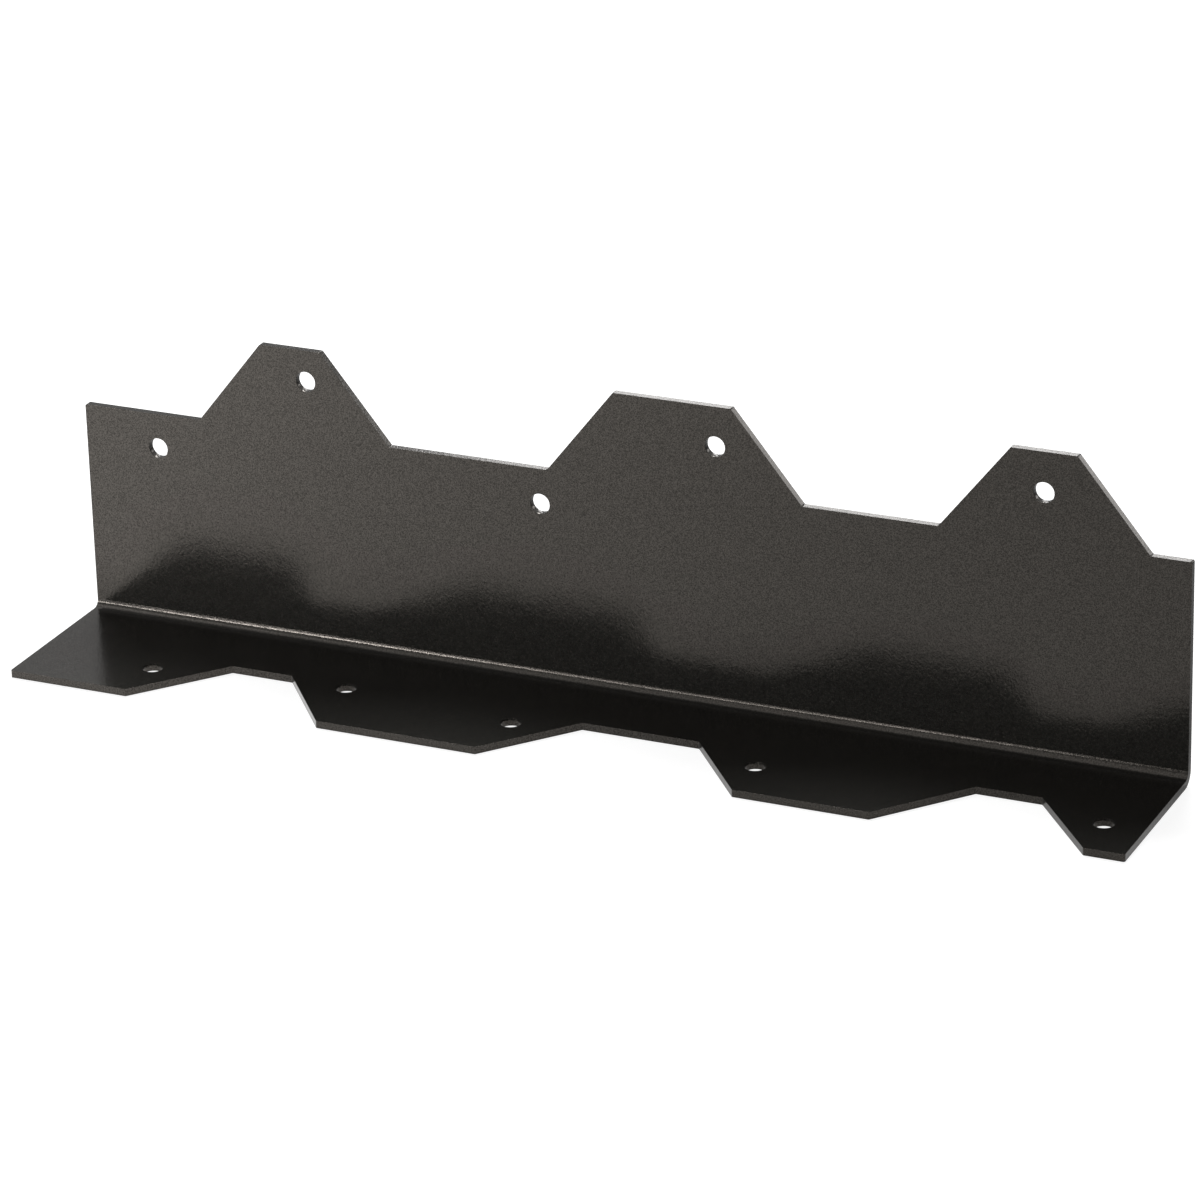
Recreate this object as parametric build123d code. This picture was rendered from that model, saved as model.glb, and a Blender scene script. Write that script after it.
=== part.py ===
from build123d import *
import os

# Reinforcing angle: one piece of sheet steel, cut to a zigzag outline, punched and folded once.
# X runs along the fold, Y towards the back of the upright leg, Z up.
# The origin is the middle of the footprint, on the plane that the base leg lies on.

# Sheet
thickness = 1.5
inside_radius = 1.5
corner_radius = 0.4

# Legs, each from the outside of the fold to its cut edge
upright_height = 44.45  # between the tabs
base_depth = 18.9  # in front of a tab, where the base leg is cut back
tab_rise = 17.5  # a tab stands this much higher, and the base leg is cut back as much
slope_run = 14.15  # length that each sloping side takes along the angle

# Along the angle, from the left end to the right one, all taken at the foot of the slopes
left_margin = 25.4
outer_tab_width = 41.25
first_gap = 33.4
middle_tab_width = 52.35
second_gap = 27.05
right_margin = 7.9

# Holes
hole_diameter = 4.1
# Upright leg: below the edge that is over the hole
band_hole_inset = 7.15
first_tab_hole_inset = 6.4
tab_hole_inset = 8.0
# Upright leg: along the angle
end_hole_lead = 9.5  # before the first tab
first_tab_hole_offset = 3.2  # to the right of the first tab's middle
gap_hole_lead = 1.65  # before the middle tab
middle_tab_hole_offset = 8.7  # to the right of the middle tab's middle
# Base leg: behind its front edge
front_hole_inset = 11.1
left_step_hole_inset = 15.9
right_step_hole_inset = 12.6
step_hole_offset = 1.55  # along the angle, from the foot of a tab's slope

# Worked out from the sizes above
outside_radius = inside_radius + thickness
total_height = upright_height + tab_rise
total_depth = base_depth + tab_rise
back = total_depth / 2

# Start and end of each tab along the angle
first_start = left_margin
first_end = first_start + outer_tab_width
middle_start = first_end + first_gap
middle_end = middle_start + middle_tab_width
last_start = middle_end + second_gap
last_end = last_start + outer_tab_width
length = last_end + right_margin


def zigzag(low, high):
    """Corners of the cut edge: at low between the tabs and at high along them."""
    corners = [(0, low)]
    for start, end in ((first_start, first_end), (middle_start, middle_end), (last_start, last_end)):
        corners += [(start, low), (start + slope_run, high), (end - slope_run, high), (end, low)]
    return corners + [(length, low)]


def leg(edge, holes):
    """Flat leg in its own plane, from the fold's tangent line to its cut edge, with its holes."""
    with BuildSketch() as flat:
        with BuildLine():
            Polyline((0, outside_radius), *edge, (length, outside_radius), close=True)
        make_face()
        cut_corners = [v for v in flat.vertices() if v.Y > outside_radius + corner_radius]
        fillet(cut_corners, corner_radius)
        with Locations(*holes):
            Circle(hole_diameter / 2, mode=Mode.SUBTRACT)
    return flat.sketch


def upright_leg():
    """Leg that stands up, with a tab for each step of the zigzag."""
    band_row = upright_height - band_hole_inset
    tab_row = total_height - tab_hole_inset
    holes = [
        (first_start - end_hole_lead, band_row),
        ((first_start + first_end) / 2 + first_tab_hole_offset, total_height - first_tab_hole_inset),
        (middle_start - gap_hole_lead, band_row),
        ((middle_start + middle_end) / 2 + middle_tab_hole_offset, tab_row),
        ((last_start + last_end) / 2, tab_row),
    ]
    outer_face = Plane(origin=(-length / 2, back, 0), x_dir=(1, 0, 0), z_dir=(0, -1, 0))
    return extrude(outer_face * leg(zigzag(upright_height, total_height), holes), thickness)


def base_leg():
    """Leg that lies flat. Its front edge is the same zigzag, cut back in front of each tab."""
    front_row = total_depth - front_hole_inset
    holes = [
        (first_start, front_row),
        (first_end - step_hole_offset, total_depth - left_step_hole_inset),
        (middle_start + step_hole_offset, total_depth - right_step_hole_inset),
        (middle_end, front_row),
        (last_end, front_row),
    ]
    underside = Plane(origin=(-length / 2, back, 0), x_dir=(1, 0, 0), z_dir=(0, 0, -1))
    return extrude(underside * leg(zigzag(total_depth, base_depth), holes), -thickness)


def fold():
    """Quarter round between the legs, along the whole angle."""
    centre = (outside_radius, outside_radius)
    with BuildSketch() as section:
        with BuildLine():
            CenterArc(centre, outside_radius, 180, 90)
            CenterArc(centre, inside_radius, 180, 90)
            Line((0, outside_radius), (thickness, outside_radius))
            Line((outside_radius, 0), (outside_radius, thickness))
        make_face()
    right_end = Plane(origin=(length / 2, back, 0), x_dir=(0, -1, 0), z_dir=(-1, 0, 0))
    return extrude(right_end * section.sketch, length)


reinforcing_angle = upright_leg() + base_leg() + fold()

os.makedirs("parts", exist_ok=True)
export_step(reinforcing_angle, "parts/reinforcing_angle.step")
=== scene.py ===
import math
from collections import namedtuple

import bpy
from mathutils import Matrix, Vector


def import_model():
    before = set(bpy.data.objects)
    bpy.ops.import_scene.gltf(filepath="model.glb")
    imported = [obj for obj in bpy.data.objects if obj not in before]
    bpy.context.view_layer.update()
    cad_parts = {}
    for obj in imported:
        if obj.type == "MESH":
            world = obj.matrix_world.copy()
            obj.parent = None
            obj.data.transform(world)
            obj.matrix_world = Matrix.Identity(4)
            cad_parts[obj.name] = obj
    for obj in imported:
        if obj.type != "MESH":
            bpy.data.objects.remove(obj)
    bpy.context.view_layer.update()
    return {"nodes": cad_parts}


MM = 0.001

Relief = namedtuple("Relief", "lump_mm height_mm detail fineness")
Softbox = namedtuple("Softbox", "name place aim size watts")

# Camera
CAMERA_PLACE_MM = (406.0, -864.0, 425.5)
CAMERA_AIM_MM = (-3.8, 16.7, 19.3)
CAMERA_LENS_MM = 165.7
CAMERA_ROLL_DEG = -1.5
SENSOR_MM = 36.0

# Sheet's cut edges, softened by the blanking and the coat
EDGE_ROUND_MM = 0.15
EDGE_SEGMENTS = 3
SHARP_EDGE_DEG = 35
WELD_MM = 0.001
FLAT_DEG = 0.5

# Coat's relief
WAVES = Relief(lump_mm=6.0, height_mm=0.05, detail=2.0, fineness=0.5)
PEBBLES = Relief(lump_mm=0.50, height_mm=0.024, detail=2.0, fineness=0.5)
GRAIN = Relief(lump_mm=0.26, height_mm=0.014, detail=1.0, fineness=0.8)

# Coat's colour, with painted shade and light: darker in the hollows of its pebbles and lighter on their
# crowns, following their bump
COAT_SHADED_HOLLOW = (0.0080, 0.0080, 0.0074, 1)
COAT_LIT_CROWN = (0.0160, 0.0163, 0.0150, 1)
COLOUR_BAND = (0.3, 0.7)

# Coat's gloss and shine, which change with its grain
COAT_ROUGHNESS = (0.12, 0.24)
ROUGHNESS_BAND = (0.42, 0.70)
COAT_SHINE = (0.28, 0.72)
SHINE_BAND = (0.35, 0.65)
COAT_IOR = 1.5
COAT_SHEEN_TINT = (1.0, 0.905, 0.81, 1)

# Surroundings: their light on the object, and how bright the coat sees them from the horizon up
WORLD_LEVEL = 0.08
HORIZON_LEVEL = 0.42
HORIZON_BAND = (0.36, 0.66)

# Floor, with its bands in metres: its glow to the camera, and to the coat at the left and in front
FLOOR_SIZE = 12
FLOOR_DROP_MM = 0.05
FLOOR_WHITE = 0.90
FLOOR_COLOUR = (0.3, 0.3, 0.3, 1)
FLOOR_GLOW = 0.66
FLOOR_LEFT_GLOW = 1.2
FLOOR_LEFT_BAND = (0.12, -0.16)
FLOOR_FRONT_BAND = (0.035, -0.005)

# Studio lamps, in metres and watts
LOW_AIM = (-0.03, 0, 0.01)
MIDDLE_AIM = (0, 0, 0.02)
UPPER_AIM = (0, 0, 0.03)
LAMPS = (
    Softbox("low_strip", place=(-0.41, -0.95, 0.14), aim=LOW_AIM, size=(0.90, 0.11), watts=3.0),
    Softbox("low_left", place=(-0.74, -0.81, 0.13), aim=LOW_AIM, size=(0.42, 0.11), watts=2.6),
    Softbox("left", place=(-1.2, -0.3, 0.8), aim=MIDDLE_AIM, size=(0.7, 0.7), watts=1.0),
    Softbox("above", place=(-0.25, 0.50, 0.86), aim=MIDDLE_AIM, size=(0.6, 0.36), watts=13.5),
    Softbox("rim", place=(-0.32, 1.1, 0.44), aim=UPPER_AIM, size=(0.45, 0.24), watts=1.45),
    Softbox("rim_right", place=(0.60, 1.0, 0.36), aim=UPPER_AIM, size=(0.40, 0.25), watts=0.95),
)

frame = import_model()


def clear_defaults():
    """Removes what a new Blender file holds besides the frame."""
    for name in ("Cube", "Light", "Camera"):
        found = bpy.data.objects.get(name)
        if found:
            bpy.data.objects.remove(found)


def node(tree, kind, **inputs):
    """New shader node, with values for its named inputs."""
    made = tree.nodes.new(kind)
    for name, value in inputs.items():
        made.inputs[name.replace("_", " ")].default_value = value
    return made


def axis(tree, kind, name):
    """One axis of a texture coordinate."""
    place = tree.nodes.new("ShaderNodeTexCoord")
    axes = tree.nodes.new("ShaderNodeSeparateXYZ")
    tree.links.new(place.outputs[kind], axes.inputs[0])
    return axes.outputs[name]


def arithmetic(tree, operation, first, second):
    """Sum, product, power or larger of two values; each is a socket or a number."""
    made = tree.nodes.new("ShaderNodeMath")
    made.operation = operation
    for slot, value in enumerate((first, second)):
        if isinstance(value, bpy.types.NodeSocket):
            tree.links.new(value, made.inputs[slot])
        else:
            made.inputs[slot].default_value = value
    return made.outputs[0]


def spread(tree, value, old_range, new_range):
    """Carries a value from one range to another and stops it at the ends."""
    made = tree.nodes.new("ShaderNodeMapRange")
    made.inputs["From Min"].default_value, made.inputs["From Max"].default_value = old_range
    made.inputs["To Min"].default_value, made.inputs["To Max"].default_value = new_range
    tree.links.new(value, made.inputs["Value"])
    return made.outputs["Result"]


def ray_kind(tree, *kinds):
    """1 for light paths of the given kinds, else 0."""
    rays = tree.nodes.new("ShaderNodeLightPath")
    either = rays.outputs[kinds[0]]
    for kind in kinds[1:]:
        either = arithmetic(tree, "MAXIMUM", either, rays.outputs[kind])
    return either


def noise(tree, place, relief):
    """Solid noise with lumps of the relief's size; returns its output from 0 to 1."""
    scale = 1 / (relief.lump_mm * MM)
    made = node(tree, "ShaderNodeTexNoise", Scale=scale, Detail=relief.detail, Roughness=relief.fineness)
    tree.links.new(place, made.inputs["Vector"])
    return made.outputs["Fac"]


def coated_steel():
    """Near-black powder coat: semi-gloss, pebbled at half a millimetre, with a finer grain on top."""
    material = bpy.data.materials.new("coated_steel")
    material.use_nodes = True
    tree = material.node_tree
    shader = tree.nodes["Principled BSDF"]
    shader.inputs["Metallic"].default_value = 0.0
    shader.inputs["IOR"].default_value = COAT_IOR
    shader.inputs["Specular Tint"].default_value = COAT_SHEEN_TINT
    link = tree.links.new
    place = tree.nodes.new("ShaderNodeTexCoord").outputs["Object"]

    waves, pebbles, grain = (noise(tree, place, relief) for relief in (WAVES, PEBBLES, GRAIN))
    normal = None
    for texture, relief in ((waves, WAVES), (pebbles, PEBBLES), (grain, GRAIN)):
        bump = node(tree, "ShaderNodeBump", Strength=1.0, Distance=relief.height_mm * MM)
        link(texture, bump.inputs["Height"])
        if normal:
            link(normal, bump.inputs["Normal"])
        normal = bump.outputs["Normal"]
    link(normal, shader.inputs["Normal"])

    # Painted shade and painted light: the colour follows the pebbles' relief, darker in the hollows and
    # lighter on the crowns
    colour = tree.nodes.new("ShaderNodeValToRGB")
    shaded_hollow, lit_crown = colour.color_ramp.elements
    shaded_hollow.position, lit_crown.position = COLOUR_BAND
    shaded_hollow.color = COAT_SHADED_HOLLOW
    lit_crown.color = COAT_LIT_CROWN
    link(pebbles, colour.inputs["Fac"])
    link(colour.outputs["Color"], shader.inputs["Base Color"])

    link(spread(tree, grain, ROUGHNESS_BAND, COAT_ROUGHNESS), shader.inputs["Roughness"])
    link(spread(tree, grain, SHINE_BAND, COAT_SHINE), shader.inputs["Specular IOR Level"])
    return material


def dress_angle():
    """Gives the folded sheet its coat and its softened edges."""
    angle = frame["nodes"]["reinforcing_angle"]
    coat = coated_steel()
    for slot in angle.material_slots:
        slot.material = coat
    weld = angle.modifiers.new("weld", "WELD")
    weld.merge_threshold = WELD_MM * MM
    flat = angle.modifiers.new("flat", "DECIMATE")
    flat.decimate_type = "DISSOLVE"
    flat.angle_limit = math.radians(FLAT_DEG)
    soften = angle.modifiers.new("soften", "BEVEL")
    soften.width = EDGE_ROUND_MM * MM
    soften.segments = EDGE_SEGMENTS
    soften.limit_method = "ANGLE"
    soften.angle_limit = math.radians(SHARP_EDGE_DEG)
    soften.harden_normals = True


def floor_glow(tree):
    """Strength of the floor's glow: even to the camera; to the coat only in front, and more at the left."""
    leftwards = spread(tree, axis(tree, "Object", "X"), FLOOR_LEFT_BAND, (0, 1))
    glow_range = (FLOOR_GLOW, FLOOR_GLOW + FLOOR_LEFT_GLOW)
    level = spread(tree, arithmetic(tree, "POWER", leftwards, 2.0), (0, 1), glow_range)
    frontwards = spread(tree, axis(tree, "Object", "Y"), FLOOR_FRONT_BAND, (0, 1))
    seen = arithmetic(tree, "MULTIPLY", level, frontwards)
    mirrored = arithmetic(tree, "MULTIPLY", ray_kind(tree, "Is Glossy Ray", "Is Transmission Ray"), seen)
    direct = arithmetic(tree, "MULTIPLY", ray_kind(tree, "Is Camera Ray"), FLOOR_WHITE)
    return arithmetic(tree, "ADD", mirrored, direct)


def floor():
    """White floor that fills the view and keeps the object's shadow."""
    bpy.ops.mesh.primitive_plane_add(size=FLOOR_SIZE, location=(0, 0, -FLOOR_DROP_MM * MM))
    plane = bpy.context.object
    plane.name = "floor"
    material = bpy.data.materials.new("floor_white")
    material.use_nodes = True
    tree = material.node_tree
    tree.nodes.clear()
    output = tree.nodes.new("ShaderNodeOutputMaterial")
    matt = node(tree, "ShaderNodeBsdfDiffuse", Color=FLOOR_COLOUR)
    glow = tree.nodes.new("ShaderNodeEmission")
    both = tree.nodes.new("ShaderNodeAddShader")
    link = tree.links.new
    link(floor_glow(tree), glow.inputs["Strength"])
    link(matt.outputs[0], both.inputs[0])
    link(glow.outputs[0], both.inputs[1])
    link(both.outputs[0], output.inputs["Surface"])
    plane.data.materials.append(material)


def world():
    """Pale surroundings: white to the camera, and in the coat white overhead and greyer at the horizon."""
    surroundings = bpy.data.worlds.new("studio")
    bpy.context.scene.world = surroundings
    surroundings.use_nodes = True
    tree = surroundings.node_tree
    height = spread(tree, axis(tree, "Generated", "Z"), HORIZON_BAND, (HORIZON_LEVEL, 1.0))
    mirrored = arithmetic(tree, "MULTIPLY", ray_kind(tree, "Is Glossy Ray", "Is Transmission Ray"), height)
    direct = ray_kind(tree, "Is Camera Ray")
    seen = ray_kind(tree, "Is Camera Ray", "Is Glossy Ray", "Is Transmission Ray")
    lighting = spread(tree, seen, (0, 1), (WORLD_LEVEL, 0))
    level = arithmetic(tree, "ADD", arithmetic(tree, "ADD", mirrored, direct), lighting)
    background = tree.nodes["Background"]
    background.inputs["Color"].default_value = (1, 1, 1, 1)
    tree.links.new(level, background.inputs["Strength"])


def lights():
    """Low strips at the front left, broad light at the left, and softboxes above and behind."""
    for box in LAMPS:
        data = bpy.data.lights.new(box.name, "AREA")
        data.shape = "RECTANGLE"
        data.size, data.size_y = box.size
        data.energy = box.watts
        lamp = bpy.data.objects.new(box.name, data)
        bpy.context.scene.collection.objects.link(lamp)
        lamp.location = box.place
        lamp.rotation_euler = (Vector(box.aim) - Vector(box.place)).to_track_quat("-Z", "Y").to_euler()


def camera():
    """Camera at the photograph's viewing angle."""
    data = bpy.data.cameras.new("camera")
    data.lens = CAMERA_LENS_MM
    data.sensor_width = SENSOR_MM
    eye = bpy.data.objects.new("camera", data)
    bpy.context.scene.collection.objects.link(eye)
    place = Vector(CAMERA_PLACE_MM) * MM
    look = Vector(CAMERA_AIM_MM) * MM - place
    roll = Matrix.Rotation(math.radians(CAMERA_ROLL_DEG), 3, "Z").to_quaternion()
    turn = look.to_track_quat("-Z", "Y") @ roll
    eye.matrix_world = Matrix.Translation(place) @ turn.to_matrix().to_4x4()
    bpy.context.scene.camera = eye


clear_defaults()
dress_angle()
floor()
world()
lights()
camera()
bpy.context.scene.view_settings.view_transform = "Standard"
